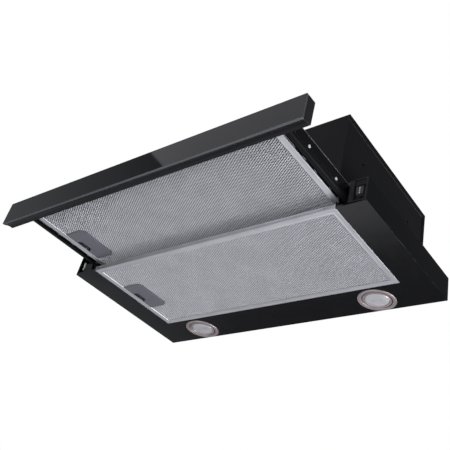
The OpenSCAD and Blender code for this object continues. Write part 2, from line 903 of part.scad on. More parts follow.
module filter_frame() {
  inner_x = filter_x - frame_band;
  inner_y = filter_d / 2 - frame_band;
  color(silver) difference() {
    union() {
      box(-filter_x, filter_x, -filter_d / 2, filter_d / 2, 0, filter_h);
      for (s = [-1, 1])
        translate([0, s * tongue_place, 0])
          box(filter_x, filter_x + tongue_reach, -tongue_w / 2, tongue_w / 2,
            tongue_z, tongue_z + tongue_t);
    }
    box(-inner_x, inner_x, -inner_y, inner_y, -over, filter_h + over);
    box(-filter_x + frame_t, filter_x - frame_t, -filter_d / 2 + frame_t, filter_d / 2 - frame_t,
      frame_t, filter_h - frame_t);
    box(-filter_x - over, -inner_x, -latch_w / 2 - fit_gap, latch_w / 2 + fit_gap,
      frame_t * 2, filter_h - frame_t);
    translate([filter_x - vent_inset, -filter_d / 2 - over, filter_h - frame_t - vent_r])
      rotate([-90, 0, 0]) cylinder(r = vent_r, h = over + frame_t);
  }
}

// Layers of stretched mesh, with rows of openings set like bricks
module filter_mesh() {
  gap_x = filter_x - frame_t - mesh_gap;
  gap_y = filter_d / 2 - frame_t - mesh_gap;
  z0 = frame_t + mesh_gap / 2;
  open_x = filter_x - frame_band;
  open_y = filter_d / 2 - frame_band;
  step_x = 2 * open_x / mesh_cols;
  step_y = 2 * open_y / mesh_rows;
  color("#8f9196") difference() {
    box(-gap_x, gap_x, -gap_y, gap_y, z0, z0 + mesh_h);
    for (row = [0:mesh_rows - 1])
      for (col = [0:mesh_cols - 1 - row % 2])
        translate([-open_x + (col + 0.5 + row % 2 / 2) * step_x, -open_y + (row + 0.5) * step_y, z0 - over])
          linear_extrude(mesh_h + 2 * over)
            polygon([
              [-step_x / 2 + mesh_rib, 0], [0, -step_y / 2 + mesh_rib / 2],
              [step_x / 2 - mesh_rib, 0], [0, step_y / 2 - mesh_rib / 2]
            ]);
    box(-gap_x - over, -open_x + handle_w + mesh_gap, -handle_d / 2 - mesh_gap, handle_d / 2 + mesh_gap,
      z0 - over, filter_h);
  }
}

// A handle plate with round corners on its inner side
module handle_outline() {
  x0 = -filter_x + frame_band;
  pane(x0, x0 + handle_w - handle_r, -handle_d / 2, handle_d / 2);
  pane(x0, x0 + handle_w, -handle_d / 2 + handle_r, handle_d / 2 - handle_r);
  for (s = [-1, 1])
    translate([x0 + handle_w - handle_r, s * (handle_d / 2 - handle_r)]) circle(r = handle_r);
}

module filter_handle() {
  x0 = -filter_x + frame_band;
  top = handle_t + pocket_h;
  color(grey) difference() {
    union() {
      linear_extrude(handle_t) handle_outline();
      box(x0, x0 + handle_w - handle_r, -handle_d / 2, -handle_d / 2 + handle_wall, 0, top);
      box(x0, x0 + handle_w - handle_r, handle_d / 2 - handle_wall, handle_d / 2, 0, top);
      box(x0 + handle_w - handle_wall, x0 + handle_w,
        -handle_d / 2 + handle_r, handle_d / 2 - handle_r, 0, top);
      for (s = [-1, 1])
        translate([0, s * (pocket_d + pocket_slope + handle_wall) / 2, 0])
          box(x0, x0 + pocket_w, -handle_wall / 2, handle_wall / 2, 0, pocket_h - run_gap);
    }
    translate([0, 0, -over]) linear_extrude(handle_t + 2 * over)
      polygon([
        [x0 + handle_wall, -pocket_d / 2 - pocket_slope / 2],
        [x0 + pocket_w, -pocket_d / 2 + pocket_slope / 2],
        [x0 + pocket_w, pocket_d / 2 - pocket_slope / 2],
        [x0 + handle_wall, pocket_d / 2 + pocket_slope / 2]
      ]);
  }
}

// A sprung slider with a finger ramp, whose nose stands in the notch beside the filter
module filter_latch() {
  x0 = -filter_x + frame_band;
  ramp_x0 = x0 + handle_wall + run_gap;
  ramp_x1 = x0 + pocket_w - latch_travel - run_gap;
  color(dark) {
    box(-filter_x - latch_reach, x0 + handle_w - handle_wall - latch_travel - 2 * run_gap,
      -latch_w / 2, latch_w / 2, pocket_h, pocket_h + latch_t);
    along_y(-latch_w / 2, latch_w / 2)
      polygon([
        [ramp_x0, pocket_h], [ramp_x1 - latch_lip_t, latch_lip_z],
        [ramp_x1, latch_lip_z], [ramp_x1, pocket_h]
      ]);
  }
}

module in_visor() {
  translate([0, visor_y, visor_z]) children();
}

module in_housing() {
  translate([0, main_y, under_z]) children();
}

underside_panel();
side_channel(-1);  // side_channel_left
side_channel(1);  // side_channel_right
rear_panel();
upper_shell();
top_cover();
outlet_collar();
flap(-1);  // flap_front
flap(1);  // flap_rear
scroll_casing(-1);  // scroll_casing_left
scroll_casing(1);  // scroll_casing_right
impeller();
motor_shaft();
motor_rotor();
motor_can();
motor_stator();
motor_bracket();
capacitor();
control_box();
cable_gland();
led_driver();
lamp_ring(-1);  // lamp_ring_left
lamp_ring(1);  // lamp_ring_right
lamp_lens(-1);  // lamp_lens_left
lamp_lens(1);  // lamp_lens_right
lamp_body(-1);  // lamp_body_left
lamp_body(1);  // lamp_body_right
slide_bracket(-1);  // slide_bracket_left
slide_bracket(1);  // slide_bracket_right
slide_fixed(-1);  // slide_fixed_left
slide_fixed(1);  // slide_fixed_right
ball_cage(-1);  // ball_cage_left
ball_cage(1);  // ball_cage_right
slide_moving(-1);  // slide_moving_left
slide_moving(1);  // slide_moving_right
guide_glides();
stop_bracket();
housing_screws();
switch_bezel();
switch_box();
light_switch();
speed_switch();
front_glass();
glass_tape();
bar_profile();
end_cap(-1);  // end_cap_left
end_cap(1);  // end_cap_right
visor_tray();
filter_strip(-1);  // filter_strip_left
filter_strip(1);  // filter_strip_right
arm_screws();
bar_screws();
in_visor() filter_frame();  // visor_filter_frame
in_visor() filter_mesh();  // visor_filter_mesh
in_visor() filter_handle();  // visor_handle
in_visor() filter_latch();  // visor_latch
in_housing() filter_frame();  // main_filter_frame
in_housing() filter_mesh();  // main_filter_mesh
in_housing() filter_handle();  // main_handle
in_housing() filter_latch();  // main_latch
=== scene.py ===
"""Visual model of a pull out range hood, built over its packed construction model.

Lengths are in metres. Left and right are as seen from the front, which faces -Y.
"""
import json
import math

import bmesh
import bpy
from bpy.props import FloatProperty, FloatVectorProperty, IntProperty, PointerProperty
from mathutils import Matrix, Vector

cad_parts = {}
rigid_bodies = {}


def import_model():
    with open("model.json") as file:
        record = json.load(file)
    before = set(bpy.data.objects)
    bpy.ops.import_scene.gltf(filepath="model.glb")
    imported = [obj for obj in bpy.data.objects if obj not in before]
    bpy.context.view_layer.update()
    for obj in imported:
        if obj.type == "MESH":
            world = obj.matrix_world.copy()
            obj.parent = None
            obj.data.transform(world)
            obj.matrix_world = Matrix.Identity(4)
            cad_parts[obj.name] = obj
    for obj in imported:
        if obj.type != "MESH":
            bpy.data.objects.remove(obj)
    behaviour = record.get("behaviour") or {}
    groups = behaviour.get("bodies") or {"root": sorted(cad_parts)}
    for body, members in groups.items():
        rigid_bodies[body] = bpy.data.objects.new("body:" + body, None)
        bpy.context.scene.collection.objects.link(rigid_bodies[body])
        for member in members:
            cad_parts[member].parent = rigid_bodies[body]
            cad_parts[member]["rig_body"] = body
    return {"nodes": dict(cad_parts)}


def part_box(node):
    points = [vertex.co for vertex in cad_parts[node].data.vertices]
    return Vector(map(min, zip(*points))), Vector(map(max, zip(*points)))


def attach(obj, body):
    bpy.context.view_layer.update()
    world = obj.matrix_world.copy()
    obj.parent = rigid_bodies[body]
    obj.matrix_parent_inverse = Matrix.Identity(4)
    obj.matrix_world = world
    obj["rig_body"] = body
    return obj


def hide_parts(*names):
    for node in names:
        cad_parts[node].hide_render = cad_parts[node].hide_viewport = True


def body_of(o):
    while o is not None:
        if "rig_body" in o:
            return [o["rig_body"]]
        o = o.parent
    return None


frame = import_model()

bl_info = {
    "name": "Pull out range hood",
    "version": (1, 0, 0),
    "blender": (4, 5, 0),
    "location": "3D View > Sidebar > Range hood",
    "description": "Builds the visible pieces and finishes of a pull out range hood",
    "category": "Object",
}

MM = 0.001
WELD = 1e-6
X, Y, Z = range(3)
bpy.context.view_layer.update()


# Sizes and colours that a user would change

class HoodSizes(bpy.types.PropertyGroup):
    diamond_x: FloatProperty(
        name="Diamond width", description="Spacing of the mesh openings along the filter's width",
        default=5.95 * MM, min=3 * MM, max=12 * MM, unit="LENGTH", precision=5)
    diamond_y: FloatProperty(
        name="Diamond depth", description="Spacing of the mesh openings along the filter's depth",
        default=3.7 * MM, min=2 * MM, max=8 * MM, unit="LENGTH", precision=5)
    strand_w: FloatProperty(
        name="Strand width", description="Width of the mesh's flat strands",
        default=1.15 * MM, min=0.3 * MM, max=2 * MM, unit="LENGTH", precision=5)
    strand_t: FloatProperty(
        name="Strand thickness", description="Thickness of the mesh's flat strands",
        default=0.45 * MM, min=0.2 * MM, max=1 * MM, unit="LENGTH", precision=5)
    strand_tilt: FloatProperty(
        name="Strand tilt", description="How far the strands lean out of the mesh's plane",
        default=math.radians(24), min=0, max=math.radians(60), unit="ROTATION")
    fold_r: FloatProperty(
        name="Frame fold radius", description="Outer radius of the filter frames' rolled edges",
        default=0.9 * MM, min=0.5 * MM, max=3 * MM, unit="LENGTH", precision=5)
    frame_t: FloatProperty(
        name="Frame thickness", description="Thickness of the filter frames' sheet",
        default=0.8 * MM, min=0.4 * MM, max=1.2 * MM, unit="LENGTH", precision=5)
    sheet_edge: FloatProperty(
        name="Sheet edge radius", description="Rounding of the painted sheets' edges",
        default=0.3 * MM, min=0.05 * MM, max=0.5 * MM, unit="LENGTH", precision=5)
    moulded_edge: FloatProperty(
        name="Moulded edge radius", description="Rounding of the plastic pieces' edges",
        default=0.4 * MM, min=0.05 * MM, max=0.6 * MM, unit="LENGTH", precision=5)
    glass_edge: FloatProperty(
        name="Glass edge bevel", description="Width of the polished bevel round the glass",
        default=0.35 * MM, min=0.1 * MM, max=1.5 * MM, unit="LENGTH", precision=5)
    collar_ribs: IntProperty(
        name="Collar ribs", description="Number of ribs on the duct collar's outside",
        default=3, min=0, max=6)


class HoodColours(bpy.types.PropertyGroup):
    paint: FloatVectorProperty(
        name="Paint", description="Colour of the satin paint on the sheets",
        default=(0.0036, 0.0037, 0.0044), min=0, max=1, subtype="COLOR")
    plastic: FloatVectorProperty(
        name="Black plastic", description="Colour of the black moulded pieces",
        default=(0.014, 0.014, 0.016), min=0, max=1, subtype="COLOR")
    handle: FloatVectorProperty(
        name="Grey plastic", description="Colour of the handles, glides and fan pieces",
        default=(0.115, 0.114, 0.132), min=0, max=1, subtype="COLOR")
    aluminium: FloatVectorProperty(
        name="Aluminium", description="Colour of the filter frames",
        default=(0.64, 0.645, 0.67), min=0, max=1, subtype="COLOR")
    mesh: FloatVectorProperty(
        name="Mesh", description="Colour of the filters' stretched mesh",
        default=(0.70, 0.705, 0.73), min=0, max=1, subtype="COLOR")
    zinc: FloatVectorProperty(
        name="Zinc", description="Colour of the zinc plated steel",
        default=(0.42, 0.43, 0.45), min=0, max=1, subtype="COLOR")
    bar: FloatVectorProperty(
        name="Bar", description="Colour of the anodised front bar",
        default=(0.008, 0.008, 0.0095), min=0, max=1, subtype="COLOR")
    glass: FloatVectorProperty(
        name="Glass", description="Colour of the printed back of the glass",
        default=(0.006, 0.006, 0.007), min=0, max=1, subtype="COLOR")
    lamp: FloatVectorProperty(
        name="Lamp metal", description="Colour of the lamp rings",
        default=(0.36, 0.31, 0.31), min=0, max=1, subtype="COLOR")
    lens: FloatVectorProperty(
        name="Lens", description="Colour of the frosted lamp lenses",
        default=(0.36, 0.365, 0.375), min=0, max=1, subtype="COLOR")


def sizes():
    return bpy.context.scene.hood_sizes


def colours():
    return bpy.context.scene.hood_colours


def corners(node):
    """The lower and the upper corner of a construction piece's box."""
    return [Vector(corner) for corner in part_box(node)]


# Finishes

MIX_SHARE, MIX_FIRST, MIX_SECOND = 0, 6, 7
MIX_RESULT = 2
NOISE_RANGE = (0.3, 0.7)


class Signal:
    """A shader output that can be added, taken away and multiplied like a number."""

    def __init__(self, finish, socket):
        self.finish = finish
        self.socket = socket

    def __add__(self, other):
        return self.finish.sum("ADD", self, other)

    def __sub__(self, other):
        return self.finish.sum("SUBTRACT", self, other)

    def __rsub__(self, other):
        return self.finish.sum("SUBTRACT", other, self)

    def __mul__(self, other):
        return self.finish.sum("MULTIPLY", self, other)

    def __abs__(self):
        return self.finish.sum("ABSOLUTE", self)

    __radd__ = __add__
    __rmul__ = __mul__


class Finish:
    """A procedural material with one Principled shader."""

    def __init__(self, name):
        self.material = bpy.data.materials.new(name)
        self.material.use_nodes = True
        self.tree = self.material.node_tree
        self.shader = next(node for node in self.tree.nodes if node.type == "BSDF_PRINCIPLED")
        self.spot = self.place()

    def feed(self, node, values):
        """Sets or links a node's sockets."""
        for key, value in values.items():
            socket = node.inputs[key]
            if isinstance(value, Signal):
                self.tree.links.new(value.socket, socket)
            else:
                socket.default_value = value

    def node(self, kind, values, output=0, **settings):
        """Adds a node with its sockets' values or links, and gives one of its outputs."""
        node = self.tree.nodes.new("ShaderNode" + kind)
        for key, value in settings.items():
            setattr(node, key, value)
        self.feed(node, values)
        return Signal(self, node.outputs[output])

    def sum(self, operation, *values):
        return self.node("Math", dict(enumerate(values)), operation=operation)

    def place(self, centre=(0, 0, 0), scale=(1, 1, 1)):
        """Object coordinates, centred and then scaled."""
        spot = self.node("TexCoord", {}, "Object")
        moved = self.node("Mapping", {"Vector": spot, "Location": [-value for value in centre]})
        return self.node("Mapping", {"Vector": moved, "Scale": scale})

    def axes(self, vector):
        parts = self.node("SeparateXYZ", {"Vector": vector}).socket.node
        return [Signal(self, output) for output in parts.outputs]

    def noise(self, scale, detail=3, spot=None):
        return self.node("TexNoise", {"Vector": spot or self.spot, "Scale": scale, "Detail": detail}, "Fac")

    def spread(self, signal, low, high, new_low, new_high):
        """Maps a range to another one, clamped."""
        return self.node("MapRange", {"Value": signal, "From Min": low, "From Max": high,
                                      "To Min": new_low, "To Max": new_high})

    def level(self, noise, low=0, high=1):
        """Maps the range that a noise mostly keeps to."""
        return self.spread(noise, *NOISE_RANGE, low, high)

    def blend(self, share, first, second):
        """Mixes two colours."""
        return self.node("Mix", {MIX_SHARE: share, MIX_FIRST: opaque(first), MIX_SECOND: opaque(second)},
                         MIX_RESULT, data_type="RGBA")

    def tones(self, share, colour, dark, light):
        """Varies a colour between a darker and a lighter shade."""
        return self.blend(share, shade(colour, dark), shade(colour, light))

    def bump(self, height, depth, strength=1):
        """Relief of a real depth in metres."""
        relief = self.node("Bump", {"Height": height, "Distance": depth, "Strength": strength})
        self.feed(self.shader, {"Normal": relief})

    def paint(self, colour, rough, **others):
        """Feeds the shader's sockets. The others are named with underscores for spaces."""
        links = {key.replace("_", " "): value for key, value in others.items()}
        self.feed(self.shader, {"Base Color": colour, "Roughness": rough, **links})


def opaque(colour):
    return colour if isinstance(colour, Signal) else (*colour, 1)


def shade(colour, factor):
    return tuple(min(1.0, value * factor) for value in colour)


FINISHES = {}


def finish(name):
    """The material of this name, made when it is first asked for."""
    if name not in FINISHES:
        made = Finish(name)
        maker, *values = MAKERS[name]
        maker(made, *values)
        FINISHES[name] = made.material
    return FINISHES[name]


def satin_paint(coat, dull):
    """Satin black powder coat with a fine orange peel."""
    coat.paint(coat.tones(coat.level(coat.noise(scale=9)), colours().paint, 0.88, 1.12),
               coat.level(coat.noise(scale=60, detail=4), 0.16 + dull, 0.2 + dull), IOR=1.5)
    coat.bump(coat.noise(scale=700, detail=2), 0.002 * MM)


def grained_plastic(skin):
    """Black moulded plastic with an eroded grain."""
    grain = skin.noise(scale=1600, detail=2)
    skin.paint(skin.tones(skin.noise(scale=40), colours().plastic, 0.85, 1.2),
               skin.level(grain, 0.42, 0.56), IOR=1.46)
    skin.bump(grain, 0.03 * MM)


def handle_plastic(skin, light):
    """Grey moulded plastic, slightly violet, with a fine grain."""
    grain = skin.noise(scale=1300, detail=2)
    skin.paint(skin.tones(skin.noise(scale=30), shade(colours().handle, light), 0.92, 1.08),
               skin.level(grain, 0.4, 0.54), IOR=1.46)
    skin.bump(grain, 0.03 * MM)


def rolled_aluminium(sheet):
    """Mill finish aluminium with fine rolling lines along the width."""
    lines = sheet.noise(scale=2500, spot=sheet.place(scale=(0.03, 1, 1)))
    cloud = sheet.level(sheet.noise(scale=25, detail=4))
    sheet.paint(sheet.tones(cloud, colours().aluminium, 0.93, 1.05),
                sheet.level(lines, 0.34, 0.48), Metallic=0.78)
    sheet.bump(lines, 0.01 * MM)


def stretched_aluminium(strand):
    """Bright strands with a cloudy tone and a finely uneven roughness."""
    strand.paint(strand.tones(strand.level(strand.noise(scale=35)), colours().mesh, 0.93, 1.06),
                 strand.level(strand.noise(scale=900, detail=2), 0.36, 0.55), Metallic=0.5)


def layered_mesh_painted_shade(layer, light):
    """The inner layers of a filter, seen through its outer mesh, with painted shade: the gaps between the
    strands are painted dark, and a light factor under 1 paints a darker, shaded copy.
    """
    size = sizes()
    along, across, _ = layer.axes(layer.spot)
    waves_per_diamond = 1.5
    turns = waves_per_diamond * math.tau
    wave = (layer.sum("SINE", along * (turns / size.diamond_x))
            * layer.sum("SINE", across * (turns / size.diamond_y)))
    strands = layer.spread(abs(wave), 0.25, 0.75, 0, 1)
    # Painted shade: the gaps between the strands are darkened as the shade seen through them, and the light
    # factor darkens the whole layer.
    layer.paint(layer.tones(strands, colours().mesh, 0.22 * light, 0.75 * light), 0.6, Metallic=0.3)
    layer.bump(strands, 0.4 * MM)


def zinc_plate(plate, light, metallic):
    """Zinc plated steel with a faint spangle."""
    spangle = plate.node("TexVoronoi", {"Vector": plate.spot, "Scale": 320}, "Color", feature="F1")
    tone = plate.axes(spangle)[0]
    plate.paint(plate.tones(tone, shade(colours().zinc, light), 0.86, 1.12),
                plate.level(plate.noise(scale=120), 0.28, 0.42), Metallic=metallic)
    plate.bump(tone, 0.01 * MM, strength=0.4)


def slide_steel_and_shade(plate):
    """Near-black plated steel of the ball slides, with a film of grease. The near-black colour is partly
    painted shade, standing for the shaded recess beside the filter.
    """
    film = plate.noise(scale=140, spot=plate.place(scale=(1, 0.15, 1)))
    plate.paint(plate.tones(film, shade(colours().zinc, 0.02), 0.8, 1.25),
                plate.level(plate.noise(scale=300, detail=2), 0.42, 0.55), IOR=1.13)


def iron_and_copper(stack):
    """Stacked iron sheets with copper turns showing between the poles."""
    sheet_t = 1 * MM
    copper, iron = (0.30, 0.12, 0.05), (0.20, 0.19, 0.19)
    wave = stack.sum("SINE", stack.axes(stack.spot)[0] * (2 * math.pi / sheet_t))
    sheets = stack.spread(wave, -0.6, 0.2, 0, 1)
    stack.paint(stack.blend(sheets, copper, iron),
                stack.level(stack.noise(scale=200), 0.3, 0.5), Metallic=0.8)
    stack.bump(sheets, 0.15 * MM)


def lamp_satin(ring):
    """Warm satin nickel with a faint grain."""
    ring.paint(ring.tones(ring.noise(scale=180), colours().lamp, 0.94, 1.06),
               ring.level(ring.noise(scale=300, detail=2), 0.34, 0.42), Metallic=0.6)
    ring.bump(ring.noise(scale=900, detail=2), 0.002 * MM, strength=0.5)


def frosted(lens, side):
    """Frosted lens over two light chips."""
    chip_shift, chip_r, chip_blur, chip_share = 7.5 * MM, 0.8 * MM, 3.2 * MM, 0.55
    low, high = corners("lamp_lens_" + side)
    along, across, _ = lens.axes(lens.place((low + high) / 2))
    chips = []
    for shift in (-chip_shift, chip_shift):
        reach = lens.sum("SQRT", (along - shift) * (along - shift) + across * across)
        chips.append(lens.spread(reach, chip_r, chip_blur, 1, 0))
    colour = colours().lens
    base = lens.tones(lens.level(lens.noise(scale=70)), colour, 0.9, 1.1)
    lens.paint(lens.blend((chips[0] + chips[1]) * chip_share, base, shade(colour, 0.55)),
               lens.level(lens.noise(scale=900, detail=2), 0.3, 0.42), IOR=1.46)
    lens.bump(lens.noise(scale=1400, detail=2), 0.02 * MM)


def back_printed_glass(pane):
    """Clear glass printed black on its back, with a smooth face of faintly uneven tone."""
    pane.paint(pane.tones(pane.noise(scale=5, detail=1), colours().glass, 0.8, 1.25),
               pane.level(pane.noise(scale=90), 0.03, 0.055), IOR=1.52)


def ground_glass_edge(edge):
    """The polished bevel round the glass, a little lighter than its face."""
    edge.paint(edge.blend(edge.noise(scale=300, detail=2), (0.05, 0.054, 0.06), (0.075, 0.08, 0.09)),
               edge.level(edge.noise(scale=800, detail=2), 0.2, 0.32), IOR=1.52)


def foam_tape(tape):
    """Black foam tape."""
    cells = tape.noise(scale=1200)
    tape.paint(tape.blend(cells, (0.012, 0.012, 0.013), (0.03, 0.03, 0.032)),
               tape.level(cells, 0.75, 0.95), IOR=1.4)
    tape.bump(cells, 0.15 * MM)


def anodised(bar):
    """Dark anodised extrusion with die lines along the bar."""
    lines = bar.noise(scale=1800, spot=bar.place(scale=(0.01, 1, 1)))
    bar.paint(bar.tones(lines, colours().bar, 0.85, 1.2), bar.level(lines, 0.3, 0.4), Metallic=0.02, IOR=1.27)
    bar.bump(lines, 0.01 * MM)


def white_print(mark):
    """White printed marks."""
    wear = mark.noise(scale=500)
    mark.paint(mark.blend(wear, (0.55, 0.55, 0.56), (0.8, 0.8, 0.8)), mark.level(wear, 0.4, 0.6))


def pale_floor(floor):
    """Plain pale studio floor with a glow of its own."""
    tone = floor.noise(scale=2, detail=2)
    pale = floor.blend(tone, (0.78, 0.78, 0.79), (0.82, 0.82, 0.83))
    floor.paint(pale, floor.level(tone, 0.6, 0.7), Emission_Color=pale, Emission_Strength=0.7)


MAKERS = {
    "black_paint": (satin_paint, 0),
    "dull_paint": (satin_paint, 0.3),
    "black_plastic": (grained_plastic,),
    "grey_plastic": (handle_plastic, 1),
    "knob_plastic": (handle_plastic, 0.42),
    "tab_paint": (handle_plastic, 0.2),
    "aluminium": (rolled_aluminium,),
    "aluminium_mesh": (stretched_aluminium,),
    "zinc_steel": (zinc_plate, 1, 0.85),
    "screw_zinc": (zinc_plate, 2.1, 0.35),
    "cut_edge": (zinc_plate, 0.5, 0.2),
    "slide_steel_and_shade": (slide_steel_and_shade,),
    "motor_iron": (iron_and_copper,),
    "lamp_metal": (lamp_satin,),
    "frosted_lens_left": (frosted, "left"),
    "frosted_lens_right": (frosted, "right"),
    # The visor's inner layers are a darker copy of the main ones: painted shade.
    "visor_layers": (layered_mesh_painted_shade, 0.55),
    "main_layers": (layered_mesh_painted_shade, 1),
    "black_glass": (back_printed_glass,),
    "glass_edge": (ground_glass_edge,),
    "black_rubber": (foam_tape,),
    "dark_aluminium": (anodised,),
    "white_print": (white_print,),
    "studio_floor": (pale_floor,),
}


# Pieces

EDGE_ANGLE = 35
SOFT_ANGLE = 40
FLAT_ANGLE = 0.4
SQUARE_ON = 0.99


def mesh_of(name, shape):
    mesh = bpy.data.meshes.new(name)
    shape.to_mesh(mesh)
    shape.free()
    return mesh


def place_in_scene(name, data):
    item = bpy.data.objects.new(name, data)
    bpy.context.scene.collection.objects.link(item)
    return item


def add_piece(name, shape, like, finish_name, replaces=()):
    """Puts a shape in the scene, riding on the body of the construction piece it belongs to."""
    piece = place_in_scene(name, mesh_of(name, shape))
    piece.data.materials.append(finish(finish_name))
    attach(piece, body_of(frame["nodes"][like])[0])
    if replaces:
        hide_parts(*replaces)
    return piece


def smooth(piece, sharp=SOFT_ANGLE):
    """Smooth shading with the edges over an angle left sharp."""
    mesh = piece.data
    mesh.polygons.foreach_set("use_smooth", [True] * len(mesh.polygons))
    mesh.set_sharp_from_angle(angle=math.radians(sharp))
    return piece


def round_edges(piece, width, segments=2):
    smooth(piece, EDGE_ANGLE)
    edge = piece.modifiers.new("Rounded edges", "BEVEL")
    edge.width = width
    edge.segments = segments
    edge.limit_method = "ANGLE"
    edge.angle_limit = math.radians(EDGE_ANGLE)
    edge.harden_normals = True
    return piece


def copied_shape(node):
    """A copy of a construction piece with its points merged and its flats made whole."""
    source = frame["nodes"][node]
    shape = bmesh.new()
    shape.from_mesh(source.data)
    shape.transform(source.matrix_world)
    bmesh.ops.remove_doubles(shape, verts=shape.verts, dist=WELD)
    bmesh.ops.dissolve_limit(shape, angle_limit=math.radians(FLAT_ANGLE),
                             verts=shape.verts, edges=shape.edges)
    return shape


def rounded_copy(node, finish_name, width, segments=2):
    """A construction piece with its edges rounded as they are made."""
    piece = add_piece(node + "_finished", copied_shape(node), node, finish_name, (node,))
    return round_edges(piece, width, segments)


def mark_faces(piece, finish_name, chosen):
    """Gives the chosen faces of a piece a second finish."""
    piece.data.materials.append(finish(finish_name))
    for face in piece.data.polygons:
        face.material_index = int(chosen(face))


def dress(node, finish_name):
    """Gives a construction piece its finish."""
    target = frame["nodes"][node]
    target.data.materials.clear()
    target.data.materials.append(finish(finish_name))


def in_mm(pairs):
    """Pairs of millimetres as metres."""
    return [(first * MM, second * MM) for first, second in pairs]


def turned(points, centre, steps=96):
    """Spins a section, given as radius and height, round an upright line through a centre."""
    shape = bmesh.new()
    verts = [shape.verts.new((radius, 0, height)) for radius, height in points]
    edges = [shape.edges.new(pair) for pair in zip(verts, verts[1:])]
    bmesh.ops.spin(shape, geom=verts + edges, cent=(0, 0, 0), axis=(0, 0, 1), dvec=(0, 0, 0),
                   angle=2 * math.pi, steps=steps, use_merge=True)
    bmesh.ops.remove_doubles(shape, verts=shape.verts, dist=WELD)
    bmesh.ops.recalc_face_normals(shape, faces=shape.faces)
    shape.transform(Matrix.Translation(centre))
    return shape


def block(shape, start, end):
    """Adds a box between two corners."""
    start, end = Vector(start), Vector(end)
    place = Matrix.Translation((start + end) / 2) @ Matrix.Diagonal((*(end - start), 1))
    bmesh.ops.create_cube(shape, size=1, matrix=place)


def join(shape, other):
    """Adds a shape to another one."""
    mesh = mesh_of("part", other)
    shape.from_mesh(mesh)
    bpy.data.meshes.remove(mesh)


def verts_of(made):
    return [item for item in made if isinstance(item, bmesh.types.BMVert)]


def extruded(shape, edges):
    """Extrudes a loop of edges, and gives the new points and edges."""
    made = bmesh.ops.extrude_edge_only(shape, edges=edges)["geom"]
    verts = verts_of(made)
    return verts, [item for item in made if isinstance(item, bmesh.types.BMEdge)
                   and all(vert in verts for vert in item.verts)]


# Filters

FRAME_DROP = 1.2 * MM
FRAME_SKIN = 1.4 * MM
FOLD_ANGLE = 50


def strand_row(size, count):
    """One zigzag strand of flat section, along X, a row of diamonds long."""
    shape = bmesh.new()
    half_w, half_t = size.strand_w / 2, size.strand_t / 2
    lean = Matrix.Rotation(size.strand_tilt, 3, "X")
    ring = [shape.verts.new(lean @ Vector((0, y, z))) for y, z in
            ((-half_w, -half_t), (half_w, -half_t), (half_w, half_t), (-half_w, half_t))]
    edges = [shape.edges.new(ends) for ends in zip(ring, ring[1:] + ring[:1])]
    for rise in (1, -1):
        verts, edges = extruded(shape, edges)
        bmesh.ops.translate(shape, verts=verts, vec=(size.diamond_x / 2, size.diamond_y / 2 * rise, 0))
    repeat(shape, count, Vector((size.diamond_x, 0, 0)))
    bmesh.ops.remove_doubles(shape, verts=shape.verts, dist=WELD * 10)
    bmesh.ops.recalc_face_normals(shape, faces=shape.faces)
    return shape


def everything(shape):
    return shape.verts[:] + shape.edges[:] + shape.faces[:]


def repeat(shape, count, step):
    """Repeats a whole shape, by doubling it while that fits, and then one by one."""
    unit = everything(shape)
    done = 1
    while done < count:
        doubles = done * 2 <= count
        copy = bmesh.ops.duplicate(shape, geom=everything(shape) if doubles else unit)["geom"]
        bmesh.ops.translate(shape, verts=verts_of(copy), vec=step * done)
        done += done if doubles else 1


def stretched_mesh(pad, handle):
    """The outer mesh of a filter: zigzag strands that meet at the diamonds' corners."""
    side_room, end_room = 4 * MM, 8 * MM
    gap, corner = 0.5 * MM, 9 * MM
    size = sizes()
    low, high = corners(pad)
    centre = (low + high) / 2
    columns = int((high.x - low.x - side_room) / size.diamond_x)
    rows = int((high.y - low.y - end_room) / size.diamond_y)
    strands = strand_row(size, columns)
    mirror = strands.copy()
    bmesh.ops.translate(mirror, verts=mirror.verts, vec=(size.diamond_x / 2, size.diamond_y / 2, 0))
    join(strands, mirror)
    repeat(strands, rows, Vector((0, size.diamond_y, 0)))
    bmesh.ops.translate(strands, verts=strands.verts, vec=(
        centre.x - (columns + 0.5) * size.diamond_x / 2,
        centre.y - rows * size.diamond_y / 2,
        low.z + size.strand_w / 2))
    near, far = corners(handle)
    grip = (near + far) / 2
    reach = far - grip - Vector((corner, corner, 0))

    def under_grip(spot):
        out = Vector((max(0, spot.x - grip.x - reach.x), max(0, abs(spot.y - grip.y) - reach.y)))
        return out.length < corner + gap
    inside = [face for face in strands.faces if under_grip(face.calc_center_median())]
    bmesh.ops.delete(strands, geom=inside, context="FACES")
    bmesh.ops.holes_fill(strands, edges=[item for item in strands.edges if item.is_boundary], sides=4)
    return strands


def frame_section():
    """Half a filter frame's section: the beaded band below, the rolled edge and the band above."""
    height, band, radius = 9 * MM, 10.5 * MM, sizes().fold_r
    lift = 0.3 * MM
    bead = [(0, 1.4), (0.25, 0.6), (0.8, 0.15), (1.6, 0), (2.4, 0.1), (3.1, 0.45), (4, 0.65), (6, 0.6),
            (8.4, 0.4)]
    steps = [math.radians(18 * index) for index in range(6)]
    section = [(out - band, up) for out, up in in_mm(bead)]
    section += [(radius * (math.sin(turn) - 1), lift + radius * (1 - math.cos(turn))) for turn in steps]
    section += [(radius * (math.cos(turn) - 1), height + radius * (math.sin(turn) - 1)) for turn in steps]
    return section + [(-band, height)]


